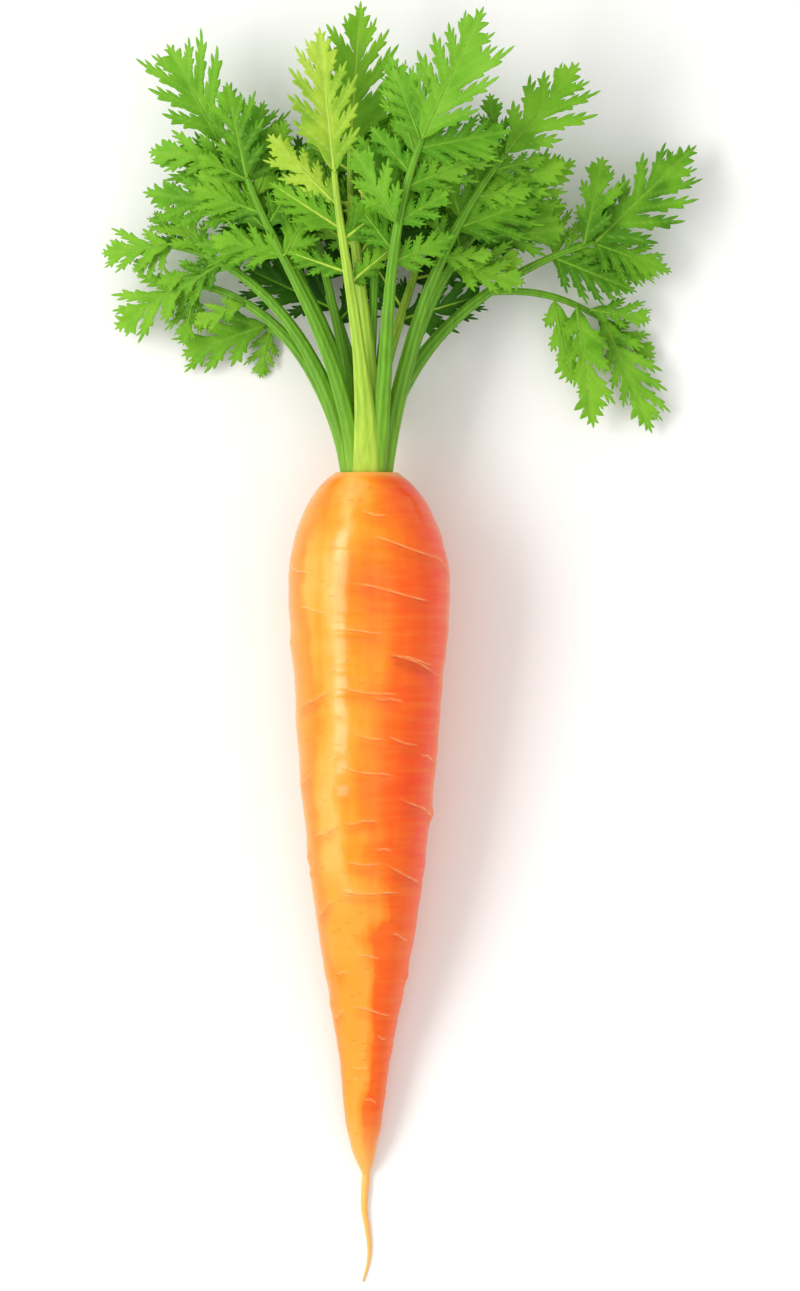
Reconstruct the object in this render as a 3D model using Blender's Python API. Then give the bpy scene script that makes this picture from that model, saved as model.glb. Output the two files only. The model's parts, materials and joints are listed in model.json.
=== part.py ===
"""A carrot with its leafy top, picked and laid on its side on a flat surface.

The root lies along -Y with its belly on the surface, the leaves fan out along +Y from the crown.
Metres, +Z up. The origin is on the surface, under the middle of the whole carrot.
"""

import math
import random
from collections import namedtuple

import bpy
from mathutils import Vector
from mathutils.geometry import delaunay_2d_cdt

MM = 0.001
GAP = 0.35 * MM  # kept between neighbouring pieces

# Root: a tapered body with a domed shoulder, ending in a thread-like tail.
ROOT_LENGTH = 177 * MM  # crown to the start of the tail
SHOULDER_RADIUS = 20.5 * MM
DOME_LENGTH = 29.5 * MM  # crown to the widest ring
DOME_REACH = 32 * MM  # half length of the ellipse that the dome is cut from
TAIL_LENGTH = 27.5 * MM
TAIL_RADIUS = 1.05 * MM
TAIL_END_RADIUS = 0.25 * MM
CROWN_LIFT = 1.5 * MM  # how far the crown's centre rises above the shoulder's
DISH_DEPTH = 1.2 * MM  # hollow in the crown that the leaf stalks grow from
DISH_CLEARANCE = 0.6 * MM  # from the outer stalks to the dish's wall
STALK_CLEARANCE = 0.55 * MM  # from the stalks' ends to the bottom of the dish
ROOT_SIDES = 26
DOME_RINGS = 8
BODY_RINGS = 16
TAIL_RINGS = 10

# Body radius below the shoulder, as (share of the way to the tail, share of SHOULDER_RADIUS).
BODY_TAPER = [
    (0.0, 1.0), (0.085, 0.97), (0.16, 0.915), (0.29, 0.855), (0.42, 0.755), (0.56, 0.63),
    (0.69, 0.465), (0.81, 0.31), (0.9, 0.235), (0.965, 0.14),
]
# Sideways bends of the core, as (distance from the crown, offset), along the body and the tail.
BODY_BENDS = [(0, 0), (30, 0.7), (70, 0.3), (120, 0.0), (150, -0.5), (168, -0.8), (177, -0.2)]
TAIL_BENDS = [(0, -0.2), (4, -0.4), (9, -0.6), (14, 0.1), (18, 0.6), (21, 0.6), (24, 0.1), (27.5, -0.9)]

# Leaves. Plan positions and leaflet sizes are for this length of top, and scale with it.
TOP_LENGTH = 118 * MM  # crown to the tip of the longest leaf
DRAWN_LENGTH = 118 * MM
STALK_RADIUS = 1.45 * MM  # of a stalk where it leaves the crown
STALK_END_RADIUS = 0.6 * MM
STALK_FLATNESS = 0.85  # height of a stalk's section against its width
STALK_SIDES = 8
STALK_RINGS = 9
START_PULL = 0.42  # how far a stalk keeps the way it leaves the crown, as a share of its reach
END_PULL = 0.3  # how far before its end it takes the way it ends
PATH_STEPS = 60
OUTER_SEATS = 10  # stalks around the rim of the bunch
INNER_RING_RADIUS = 2.15 * MM
SPREAD = 0.12  # how steeply the outer stalks part as they leave the crown
LEAFLET_THICKNESS = 0.6 * MM
PETIOLULE_WIDTH = 1.1 * MM  # narrow foot that joins a leaflet to its stalk
LOBE_PITCH = 5 * MM  # length of midrib that one pair of lobes takes
MOST_LOBES = 5
LOBE_SHIFTS = (0.2, 0.32)  # the left lobes leave the midrib a little after the right ones
LOBES_FROM, LOBES_TO = 0.08, 0.7  # part of its length that a leaflet's side lobes take
LOBE_FILL = 0.88  # width of a lobe against its share of the midrib
LOBE_SWEEP = (60, 30)  # degrees from the midrib to the first and the last lobe
KEEL = 0.16  # slope of a leaflet's two halves, up from its midrib or down from it under a stalk
# A side lobe, as (share of its reach, share of its half width), from the web that joins it to the
# lobe below: a tooth, a notch, the tip, a notch and the upper tooth. Then the lobe at the end, as
# (share of the leaflet's length, share of its half width), up to the tip.
SIDE_LOBE = [(0.36, -1), (0.82, -0.84), (0.78, -0.42), (1, 0), (0.76, 0.4), (0.8, 0.66)]
END_LOBE = [(0.72, 0.18), (0.8, 0.29), (0.86, 0.3), (0.87, 0.16)]
MOST_ROLL = 0.24  # slope of a leaflet across its midrib, to either side
LEAVING = 0.22  # part of a leaflet's length over which it leaves its stalk's level

Leaf = namedtuple("Leaf", "tone ring angle end heading arch leaflets")
Leaflet = namedtuple("Leaflet", "back heading length width lift drop")

# Each leaf: the tone of its blades, the ring of the bunch and the angle where its stalk is seated
# (0 right, 90 up), the far end of its stalk from the crown, the way it points there (degrees from
# +Y towards +X), how far it arches up before it, and its leaflets. Each leaflet: how far back
# along the stalk it sits, where it points, its length and width, how far its blade rises over the
# stalk (a blade with a minus hangs under it) and how far its tip comes down. All in millimetres.
LEAVES = {
    "left_low": Leaf("mid", "outer", 234, (-26, 37.5, 4.5), -62, 1, [
        Leaflet(0, -110, 22, 17, 0.0, 3.5),
        Leaflet(2, -168, 12, 9, -0.6, 2.0),
    ]),
    "left_lower": Leaf("mid", "outer", 198, (-46, 48, 10.5), -86, 2, [
        Leaflet(0, -123, 21, 15, 0.2, 7.0),
        Leaflet(3, -168, 15, 10, -0.2, 1.0),
        Leaflet(16, -112, 13, 8, 0.5, 1.5),
    ]),
    "left_middle": Leaf("mid", "outer", 162, (-50, 57.5, 14), -82, 3, [
        Leaflet(0, -97, 17, 13, 0.2, 6.0),
        Leaflet(10, -42, 16, 13, 0.4, 2.5),
        Leaflet(15, -104, 17, 8, -0.4, 1.5),
    ]),
    "left_high": Leaf("light", "inner", 170, (-37, 83, 21), -26, 3, [
        Leaflet(0, -28, 28, 19, 0.0, 4.0),
        Leaflet(4, -86, 19, 11, 2.2, 4.0),
        Leaflet(12, -64, 21, 13, -0.4, 2.0),
        Leaflet(19, -81, 28, 14, 0.4, 4.0),
    ]),
    "left_inner": Leaf("mid", "outer", 126, (-30, 74, 29), -20, 3, [
        Leaflet(0, -12, 24, 13, 0.6, 2.0),
        Leaflet(5, 22, 20, 11, -0.6, 1.0),
        Leaflet(14, -44, 24, 14, -1.2, 1.0),
        Leaflet(22, 26, 18, 12, 0.6, 1.0),
    ]),
    "centre_left": Leaf("yellow", "outer", 90, (-8, 75, 36), -5, 3, [
        Leaflet(0, -6, 36, 25, 0.6, 4.0),
        Leaflet(8, -44, 24, 14, -0.4, 2.0),
        Leaflet(17, 34, 22, 14, -0.4, 2.0),
    ]),
    "centre": Leaf("mid", "inner", 50, (-4, 81, 26), 2, 3, [
        Leaflet(0, 4, 37, 23, 0.6, 3.0),
        Leaflet(6, 48, 23, 14, -0.6, 2.0),
        Leaflet(15, -38, 20, 14, -0.4, 3.0),
    ]),
    "centre_right": Leaf("light", "outer", 54, (14, 83, 41), 22, 3, [
        Leaflet(0, 25, 36, 23, 0.6, 5.0),
        Leaflet(4, -14, 22, 13, -0.4, 1.0),
        Leaflet(12, 60, 26, 16, -0.6, 3.0),
        Leaflet(22, -30, 21, 14, 0.6, 1.0),
    ]),
    "right_high": Leaf("mid", "outer", 18, (35, 80, 29), 38, 3, [
        Leaflet(0, 39, 29, 19, 0.6, 5.0),
        Leaflet(3, -6, 17, 10, -0.4, 1.0),
        Leaflet(12, 70, 23, 13, -0.6, 3.0),
    ]),
    "right_middle": Leaf("mid", "outer", 342, (31, 64, 20), 44, 3, [
        Leaflet(0, 56, 26, 16, 0.6, 3.0),
        Leaflet(6, 84, 23, 15, -0.4, 2.0),
        Leaflet(15, 104, 18, 11, 0.4, 3.0),
    ]),
    "right_far": Leaf("mid", "outer", 306, (58, 58.5, 12), 74, 4, [
        Leaflet(0, 46, 35, 21, 0.4, 7.0),
        Leaflet(3, 12, 22, 13, 2.4, 2.0),
        Leaflet(11, 0, 15, 10, -0.4, 1.0),
        Leaflet(6, 107, 21, 13, -0.4, 5.0),
    ]),
    "under_left": Leaf("deep", "outer", 270, (-13, 60, 7), -8, 2, [
        Leaflet(0, -10, 26, 18, 0.4, 2.0),
        Leaflet(8, -58, 22, 14, -0.9, 1.0),
    ]),
    "under_right": Leaf("deep", "inner", 290, (14, 58, 11), 12, 1, [
        Leaflet(0, 12, 26, 18, 0.4, 3.0),
        Leaflet(8, 56, 22, 14, -0.4, 1.0),
    ]),
}
# The side branch of one leaf: how far back it forks, and then as a leaf.
BRANCH_OF, BRANCH_BACK = "right_far", 27
BRANCH_SHARE = 0.75  # of its trunk's radius
BRANCH_SPREAD = 0.6  # how steeply it leaves its trunk
BRANCH = Leaf("mid", None, None, (60, 39, 4.5), 118, 3, [
    Leaflet(15, 168, 21, 12, -0.4, 2.0),
    Leaflet(8, 172, 30, 13, 0.4, 3.5),
    Leaflet(4, 100, 15, 10, 0.6, 2.0),
    Leaflet(0, 157, 31, 15, 0.0, 2.5),
    Leaflet(1, 124, 17, 8, -0.7, 0.5),
])

ROOT_SKIN = ("carrot_root_skin", (0.93, 0.25, 0.015, 1), 0.42)
STALK_SKIN = ("carrot_stalk_skin", (0.17, 0.38, 0.03, 1), 0.45)
BLADE_SKINS = {
    "mid": ("carrot_leaf_mid_green", (0.144, 0.366, 0.018, 1), 0.55),
    "light": ("carrot_leaf_light_green", (0.223, 0.479, 0.038, 1), 0.55),
    "yellow": ("carrot_leaf_yellow_green", (0.451, 0.638, 0.067, 1), 0.55),
    "deep": ("carrot_leaf_deep_green", (0.05, 0.17, 0.008, 1), 0.55),
}


def clear_scene():
    for old in list(bpy.data.objects):
        bpy.data.objects.remove(old)


def material(name, colour, roughness):
    made = bpy.data.materials.get(name) or bpy.data.materials.new(name)
    made.use_nodes = True
    shader = made.node_tree.nodes["Principled BSDF"]
    shader.inputs["Base Color"].default_value = colour
    shader.inputs["Roughness"].default_value = roughness
    return made


def add_object(name, origin, points, faces, skin):
    """A piece whose own origin is where it grows from."""
    mesh = bpy.data.meshes.new(name)
    mesh.from_pydata([tuple(p - origin) for p in points], [], faces)
    mesh.shade_smooth()
    mesh.set_sharp_from_angle(angle=math.radians(50))
    mesh.materials.append(material(*skin))
    made = bpy.data.objects.new(name, mesh)
    made.location = origin
    bpy.context.scene.collection.objects.link(made)


def through(points, x):
    """The height at x of a smooth curve through (x, height) points."""
    points = [(float(a), float(b)) for a, b in points]
    last = len(points) - 1
    i = next((k for k in range(last) if x <= points[k + 1][0]), last - 1)
    (x0, y0), (x1, y1) = points[i], points[i + 1]

    def slope(k):
        a, b = points[max(k - 1, 0)], points[min(k + 1, last)]
        return (b[1] - a[1]) / (b[0] - a[0])

    span = x1 - x0
    t = min(max((x - x0) / span, 0), 1)
    return (
        (2 * t**3 - 3 * t**2 + 1) * y0
        + (t**3 - 2 * t**2 + t) * span * slope(i)
        + (3 * t**2 - 2 * t**3) * y1
        + (t**3 - t**2) * span * slope(i + 1)
    )


# ---------------------------------------------------------------- root


def body_radius(s):
    """Radius of the root at s, the distance below the crown."""
    if s <= DOME_LENGTH:
        return SHOULDER_RADIUS * math.sqrt(1 - ((DOME_LENGTH - s) / DOME_REACH) ** 2)
    if s <= ROOT_LENGTH:
        share = (s - DOME_LENGTH) / (ROOT_LENGTH - DOME_LENGTH)
        return SHOULDER_RADIUS * through([*BODY_TAPER, (1, TAIL_RADIUS / SHOULDER_RADIUS)], share)
    share = (s - ROOT_LENGTH) / TAIL_LENGTH
    return TAIL_RADIUS + (TAIL_END_RADIUS - TAIL_RADIUS) * share


def core_offset(s):
    """How far the root's core is to the right at s."""
    if s <= ROOT_LENGTH:
        return MM * through(BODY_BENDS, s / ROOT_LENGTH * BODY_BENDS[-1][0])
    return MM * through(TAIL_BENDS, (s - ROOT_LENGTH) / TAIL_LENGTH * TAIL_BENDS[-1][0])


def core_height(s):
    """The belly lies flat on the surface below the shoulder, and the crown rises a little."""
    if s >= DOME_LENGTH:
        return body_radius(s)
    return SHOULDER_RADIUS + CROWN_LIFT * ((DOME_LENGTH - s) / DOME_LENGTH) ** 1.5


def ring_stations():
    dome = [DOME_LENGTH * (k / DOME_RINGS) ** 1.35 for k in range(DOME_RINGS)]
    body = [
        DOME_LENGTH + (ROOT_LENGTH - DOME_LENGTH) * math.sin(k / BODY_RINGS * math.pi / 2) ** 1.2
        for k in range(BODY_RINGS)
    ]
    tail = [ROOT_LENGTH + TAIL_LENGTH * k / TAIL_RINGS for k in range(TAIL_RINGS + 1)]
    return dome + body + tail


def dish_radius():
    return bunch_radius() + STALK_RADIUS + DISH_CLEARANCE


def make_root():
    """Rings in planes across Y, from the bottom of the crown's dish to the end of the tail."""
    rings = [(DISH_DEPTH, dish_radius() * 0.94)]
    rings += [(s, max(body_radius(s), dish_radius() + 0.4 * MM)) for s in ring_stations()[:1]]
    rings += [(s, body_radius(s)) for s in ring_stations()[1:]]
    crown = (core_offset(0), core_height(0))
    points, faces = [Vector((crown[0], -DISH_DEPTH, crown[1]))], []
    for k, (s, radius) in enumerate(rings):
        x, z = crown if k == 0 else (core_offset(s), core_height(s))
        for n in range(ROOT_SIDES):
            turn = 2 * math.pi * n / ROOT_SIDES - math.pi / 2
            points.append(Vector((x + radius * math.cos(turn), -s, z + radius * math.sin(turn))))
    end = len(points)
    s = ROOT_LENGTH + TAIL_LENGTH
    points.append(Vector((core_offset(s), -s - TAIL_END_RADIUS, core_height(s))))
    for n in range(ROOT_SIDES):
        after = (n + 1) % ROOT_SIDES
        faces.append((0, 1 + after, 1 + n))
        for k in range(len(rings) - 1):
            low, high = 1 + k * ROOT_SIDES, 1 + (k + 1) * ROOT_SIDES
            faces.append((low + n, low + after, high + after, high + n))
        last = end - ROOT_SIDES
        faces.append((last + n, last + after, end))
    add_object("root", points[0], points, faces, ROOT_SKIN)


# ---------------------------------------------------------------- stalks


def bunch_radius():
    """Radius of the ring that the outer stalks stand on, side by side."""
    return (STALK_RADIUS + GAP / 2) / math.sin(math.pi / OUTER_SEATS)


def seat_of(leaf):
    """Where a stalk starts, just over the bottom of the dish."""
    radius = bunch_radius() if leaf.ring == "outer" else INNER_RING_RADIUS
    turn = math.radians(leaf.angle)
    x, z = radius * math.cos(turn), radius * math.sin(turn)
    leaving = Vector((x, bunch_radius() / SPREAD, z))
    return Vector((x, STALK_CLEARANCE - DISH_DEPTH, core_height(0) + z)), leaving


def pointing(heading):
    turn = math.radians(heading)
    return Vector((math.sin(turn), math.cos(turn), 0))


def plan(x, y, z):
    """A place given in millimetres for the drawn length of top."""
    grown = TOP_LENGTH / DRAWN_LENGTH
    return Vector((x * MM * grown, y * MM * grown, z * MM))


class Path:
    """A smooth curve from start to end, read by the distance along it."""

    def __init__(self, start, leaving, end, heading, arch):
        reach = (end - start).length
        lift = Vector((0, 0, arch * MM))
        away = start + leaving.normalized() * reach * START_PULL
        back = end - pointing(heading) * reach * END_PULL + lift
        handles = (start, away, back, end)
        self.points = [self.bezier(handles, k / PATH_STEPS) for k in range(PATH_STEPS + 1)]
        steps = [(b - a).length for a, b in zip(self.points, self.points[1:])]
        self.length = sum(steps)
        self.marks = [sum(steps[:k]) for k in range(len(steps) + 1)]

    @staticmethod
    def bezier(handles, t):
        a, b, c, d = handles
        return (1 - t) ** 3 * a + 3 * t * (1 - t) ** 2 * b + 3 * t**2 * (1 - t) * c + t**3 * d

    def at(self, distance):
        """The point and the direction at this distance from the start."""
        distance = min(max(distance, 0), self.length)
        k = next(i for i in range(len(self.marks) - 1) if distance <= self.marks[i + 1] + 1e-9)
        share = (distance - self.marks[k]) / (self.marks[k + 1] - self.marks[k])
        a, b = self.points[k], self.points[k + 1]
        return a.lerp(b, share), (b - a).normalized()

    def radius(self, distance, thick=STALK_RADIUS):
        """A stalk stays thick for a third of its length and then tapers."""
        share = max(0, (distance / self.length - 0.33) / 0.67)
        return thick + (STALK_END_RADIUS - thick) * share**0.9


def make_stalk(name, path, thick=STALK_RADIUS):
    points, faces = [], []
    for k in range(STALK_RINGS + 1):
        distance = path.length * k / STALK_RINGS
        centre, along = path.at(distance)
        across = along.cross(Vector((0, 0, 1))).normalized()
        up = across.cross(along)
        radius = path.radius(distance, thick)
        for n in range(STALK_SIDES):
            turn = 2 * math.pi * n / STALK_SIDES
            points.append(
                centre + across * radius * math.cos(turn) + up * radius * STALK_FLATNESS * math.sin(turn)
            )
    for k in range(STALK_RINGS):
        for n in range(STALK_SIDES):
            after = (n + 1) % STALK_SIDES
            low, high = k * STALK_SIDES, (k + 1) * STALK_SIDES
            faces.append((low + after, low + n, high + n, high + after))
    faces.append(tuple(range(STALK_SIDES)))
    faces.append(tuple(reversed(range(len(points) - STALK_SIDES, len(points)))))
    add_object(name, path.at(0)[0], points, faces, STALK_SKIN)


# ---------------------------------------------------------------- leaflets


def lobe_edge(foot, sweep, reach, width, chance):
    """The points of one side lobe that leaves the midrib at foot."""
    turn = math.radians(sweep)
    points = []
    for k, (far, aside) in enumerate(SIDE_LOBE):
        u = far * reach * (1 if k == 0 else chance.uniform(0.96, 1.04))
        v = aside * width / 2
        ahead = foot + u * math.cos(turn) + v * math.sin(turn)
        points.append((ahead, u * math.sin(turn) - v * math.cos(turn)))
    return points


def half_outline(length, half_width, lobes, shift, chance):
    """One edge of a cut leaflet, from its narrow foot to the lobe at its end."""
    first = LOBES_FROM * length
    pitch = (LOBES_TO - LOBES_FROM) * length / lobes
    points = [(0, PETIOLULE_WIDTH / 2), (first, PETIOLULE_WIDTH / 2)]
    for k in range(lobes):
        share = (k + 0.5) / lobes
        sweep = LOBE_SWEEP[0] + (LOBE_SWEEP[1] - LOBE_SWEEP[0]) * share + chance.uniform(-3, 3)
        bulge = 1 - 0.5 * abs(2 * share - 0.9) ** 2
        reach = half_width * bulge / math.sin(math.radians(sweep)) * chance.uniform(0.94, 1.04)
        width = LOBE_FILL * pitch * math.sin(math.radians(sweep))
        points += lobe_edge(first + (k + shift) * pitch, sweep, reach, width, chance)
    return points + [(far * length, aside * half_width) for far, aside in END_LOBE]


def make_leaflet(name, foot, leaflet, skin, seed):
    """A thin cut blade over or under its stalk: it leaves the stalk, spreads flat, and its tip drops."""
    chance = random.Random(seed)
    grown = TOP_LENGTH / DRAWN_LENGTH
    length, width = leaflet.length * MM * grown, leaflet.width * MM * grown
    lobes = min(MOST_LOBES, max(2, round((LOBES_TO - LOBES_FROM) * length / LOBE_PITCH)))
    right = half_outline(length, width / 2, lobes, LOBE_SHIFTS[0], chance)
    left = half_outline(length, width / 2, lobes, LOBE_SHIFTS[1], chance)
    outline = [*right, (length, 0), *[(u, -v) for u, v in reversed(left)]]
    ribs = [(length * (k + 0.6) / (lobes + 1), 0) for k in range(lobes + 1)]
    flat = [Vector(p) for p in outline + ribs]
    edges = [(k, (k + 1) % len(outline)) for k in range(len(outline))]
    flat, _, faces, *_ = delaunay_2d_cdt(flat, edges, [], 1, 1e-6)
    along = pointing(leaflet.heading)
    across = Vector((along.y, -along.x, 0))
    keel = KEEL if leaflet.lift >= 0 else -KEEL
    roll = chance.uniform(-MOST_ROLL, MOST_ROLL)

    def top(u, v):
        leave = min(u / (LEAVING * length), 1)
        rise = leaflet.lift * MM * leave**2 * (3 - 2 * leave) - leaflet.drop * MM * (u / length) ** 1.6
        place = foot + along * u + across * v
        height = foot.z + rise + keel * abs(v) + roll * v * leave
        return Vector((place.x, place.y, max(height, LEAFLET_THICKNESS)))

    upper = [top(u, v) for u, v in flat]
    lower = [p - Vector((0, 0, LEAFLET_THICKNESS)) for p in upper]
    count = len(upper)
    # The turn from (along, across) to X and Y mirrors the plan, so the upper faces are reversed.
    sides = [tuple(reversed(f)) for f in faces] + [tuple(count + i for i in f) for f in faces]
    edges = {(a, b) for face in faces for a, b in zip(face, face[1:] + face[:1])}
    rim = [(a, b) for a, b in sorted(edges) if (b, a) not in edges]
    sides += [(a, b, count + b, count + a) for a, b in rim]
    add_object(name, foot, upper + lower, sides, skin)


def make_leaflets(leaf_name, leaf, path, first_seed):
    skin = BLADE_SKINS[leaf.tone]
    for k, leaflet in enumerate(leaf.leaflets):
        distance = path.length - leaflet.back * MM * TOP_LENGTH / DRAWN_LENGTH
        centre, along = path.at(distance)
        radius = path.radius(distance)
        heading = pointing(leaflet.heading)
        foot = centre.copy()
        if leaflet.back > 0:
            side = Vector((along.y, -along.x, 0)).normalized()
            foot += side * radius * (1 if side.dot(heading) > 0 else -1)
        if leaflet.lift >= 0:
            foot.z += radius * STALK_FLATNESS + GAP + LEAFLET_THICKNESS
        else:
            foot.z -= radius * STALK_FLATNESS + GAP
        make_leaflet(f"{leaf_name}_leaflet_{k + 1}", foot, leaflet, skin, first_seed + k)


def make_leaves():
    paths = {}
    for n, (name, leaf) in enumerate(LEAVES.items()):
        start, leaving = seat_of(leaf)
        path = paths[name] = Path(start, leaving, plan(*leaf.end), leaf.heading, leaf.arch)
        make_stalk(f"{name}_stalk", path)
        make_leaflets(name, leaf, path, 10 * n)
    trunk = paths[BRANCH_OF]
    distance = trunk.length - BRANCH_BACK * MM * TOP_LENGTH / DRAWN_LENGTH
    fork, along = trunk.at(distance)
    thick = trunk.radius(distance) * BRANCH_SHARE
    aside = Vector((along.y, -along.x, 0)).normalized()
    start = fork + aside * (trunk.radius(distance) + thick + GAP)
    path = Path(start, along + aside * BRANCH_SPREAD, plan(*BRANCH.end), BRANCH.heading, BRANCH.arch)
    make_stalk(f"{BRANCH_OF}_branch_stalk", path, thick)
    make_leaflets(f"{BRANCH_OF}_branch", BRANCH, path, 200)


def centre_on_surface():
    """Moves everything so that the origin is on the surface under the middle of the carrot."""
    made = list(bpy.context.scene.objects)
    corners = [o.location + v.co for o in made for v in o.data.vertices]
    low = [min(c[k] for c in corners) for k in range(3)]
    high = [max(c[k] for c in corners) for k in range(3)]
    middle = Vector(((low[0] + high[0]) / 2, (low[1] + high[1]) / 2, low[2]))
    holder = bpy.data.objects.new("carrot", None)
    holder.location = -middle
    bpy.context.scene.collection.objects.link(holder)
    for o in made:
        o.parent = holder


clear_scene()
make_root()
make_leaves()
centre_on_surface()
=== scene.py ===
"""A fresh carrot with its leafy top, lying on a pale table and seen from straight above.

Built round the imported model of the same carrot, in metres: +Y runs from the tail to the leaves,
+X is to the right, +Z is up and the table is at 0.
"""

import json
import math
import random

import bpy
import numpy as np
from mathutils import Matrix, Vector
from mathutils.geometry import delaunay_2d_cdt


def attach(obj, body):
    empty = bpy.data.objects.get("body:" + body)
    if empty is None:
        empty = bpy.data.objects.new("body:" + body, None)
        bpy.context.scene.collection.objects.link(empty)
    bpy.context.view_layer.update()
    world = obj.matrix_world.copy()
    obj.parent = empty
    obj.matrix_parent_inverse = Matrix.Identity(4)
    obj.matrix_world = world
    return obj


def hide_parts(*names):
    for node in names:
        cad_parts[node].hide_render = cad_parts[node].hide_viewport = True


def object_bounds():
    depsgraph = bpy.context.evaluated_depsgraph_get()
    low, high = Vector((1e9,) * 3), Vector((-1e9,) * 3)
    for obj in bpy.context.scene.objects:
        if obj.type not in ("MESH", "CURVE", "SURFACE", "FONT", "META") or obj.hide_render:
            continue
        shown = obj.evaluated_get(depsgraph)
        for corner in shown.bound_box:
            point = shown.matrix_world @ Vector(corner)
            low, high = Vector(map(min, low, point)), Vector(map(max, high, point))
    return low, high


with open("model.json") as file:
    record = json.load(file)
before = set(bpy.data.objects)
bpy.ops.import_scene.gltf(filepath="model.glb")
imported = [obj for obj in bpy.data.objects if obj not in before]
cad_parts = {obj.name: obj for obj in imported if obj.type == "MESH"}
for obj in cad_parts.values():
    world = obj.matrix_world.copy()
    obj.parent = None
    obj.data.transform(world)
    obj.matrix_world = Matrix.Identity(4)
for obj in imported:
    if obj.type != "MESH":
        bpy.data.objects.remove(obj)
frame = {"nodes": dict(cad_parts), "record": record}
cad_box = [list(corner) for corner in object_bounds()]
MM = 0.001

# ------------------------------------------------------------------ root
# The root is one tapered storage root: a domed shoulder, a long body and a thread-like tail. Its
# skin is thin, moist and slightly see-through, and it grows in rings, so it is marked across by
# fine creases, a few deep ones, and small pores where side roots were.
ROOT_SIDES, ROOT_RINGS, TAIL_RINGS, CROWN_RINGS = 150, 585, 50, 8
CROWN_DIP = 1.6 * MM  # the skin turns in and down between the stalks
TAIL_RADIUS = 1.2 * MM  # where the body has thinned to this, its tail starts
CALM = 12 * MM  # over which creases and bumps fade out above the tail

# Deep creases: distance below the crown and angle from the top of the root (minus to the left) at
# one end, the same at the other end, then how deep, in mm.
GROOVE_WIDTH = 0.24  # mm, from a crease's middle to where it has nearly ended
LIP_RISE, LIP_WIDTH = 0.42, 0.38  # the raised upper lip, against the crease's depth, and in mm
CREASES = [
    (10.5, -4, 11.5, 17, 0.30), (16.5, 3, 22.5, 64, 0.42), (21.0, 58, 26.5, 84, 0.25),
    (28.0, -14, 33.0, 52, 0.40), (39.8, -24, 40.6, 11, 0.28), (45.5, 14, 51.0, 66, 0.55),
    (46.0, 16, 48.6, 58, 0.30), (54.6, -24, 56.2, 24, 0.34), (60.0, -70, 54.8, -28, 0.36),
    (56.8, 4, 57.8, 30, 0.22), (66.4, -10, 67.2, 14, 0.26), (66.8, 16, 69.0, 46, 0.34),
    (74.6, -20, 76.6, 26, 0.34), (79.0, -76, 75.4, -52, 0.26), (82.0, 30, 87.0, 84, 0.34),
    (88.6, -22, 87.4, 12, 0.34), (92.0, -58, 88.8, -26, 0.30), (94.6, 8, 95.0, 24, 0.20),
    (98.4, -20, 98.6, 16, 0.30), (98.8, 18, 104.0, 72, 0.36), (105.6, -32, 106.0, 40, 0.34),
    (112.0, -72, 107.6, -36, 0.32), (121.5, -12, 122.0, 18, 0.18), (126.2, -46, 126.0, -26, 0.24),
    (134.6, -24, 137.0, 50, 0.30), (137.6, -66, 135.6, -34, 0.26), (142.4, 24, 143.0, 48, 0.2),
    (24.0, -78, 26.0, -46, 0.16), (34.0, -60, 35.4, -30, 0.14), (71.0, 50, 72.6, 74, 0.16),
    (116.0, 30, 118.0, 62, 0.18), (150.0, -30, 150.6, 10, 0.15), (158.0, 0, 159.2, 40, 0.12),
    # The back of the root, which grew against the soil.
    (20.0, 120, 24.0, 210, 0.3), (36.0, 150, 34.0, 240, 0.3), (52.0, 110, 55.0, 190, 0.35),
    (64.0, 180, 61.0, 262, 0.3), (80.0, 118, 83.0, 196, 0.3), (93.0, 170, 91.0, 250, 0.3),
    (110.0, 125, 112.0, 215, 0.3), (128.0, 160, 127.0, 236, 0.22), (146.0, 120, 148.0, 200, 0.18),
]


def through(places, heights, at):
    """A smooth curve through the given heights, read at other places along it."""
    slopes = np.gradient(heights, places)
    k = np.clip(np.searchsorted(places, at) - 1, 0, len(places) - 2)
    span = places[k + 1] - places[k]
    t = np.clip((at - places[k]) / span, 0, 1)
    return (
        (2 * t**3 - 3 * t**2 + 1) * heights[k]
        + (t**3 - 2 * t**2 + t) * span * slopes[k]
        + (3 * t**2 - 2 * t**3) * heights[k + 1]
        + (t**3 - t**2) * span * slopes[k + 1]
    )


def corners_of(node):
    return np.array([v.co for v in frame["nodes"][node].data.vertices])


WHOLE_RING = 60  # corners of a whole ring of the frame's root; its crown's hollow has fewer
SHOULDER = 20 * MM  # below this the rings are all on the outside


def root_rings():
    """Distance below the crown, centre and radius of each ring of the frame's root, crown first."""
    corners = corners_of("root")
    crown = corners[:, 1].max()
    below = np.round(crown - corners[:, 1], 5)
    rings = []
    for s in np.unique(below):
        ring = corners[below == s]
        low, high = ring.min(0), ring.max(0)
        radius = (high[0] - low[0]) / 2
        if len(ring) < WHOLE_RING and s > 0:
            continue
        if not rings or radius > rings[-1][3] or s > SHOULDER:
            rings.append((s, (low[0] + high[0]) / 2, (low[2] + high[2]) / 2, radius))
    return crown, np.array(rings)


crown_y, rings = root_rings()
tail_from = next(s for s, _, _, r in rings if s > SHOULDER and r < TAIL_RADIUS)
root_end = rings[-1][0]


def body_at(s):
    """Centre across, height and radius of the root at distances below the crown."""
    return tuple(through(rings[:, 0], rings[:, k], s) for k in (1, 2, 3))


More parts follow.
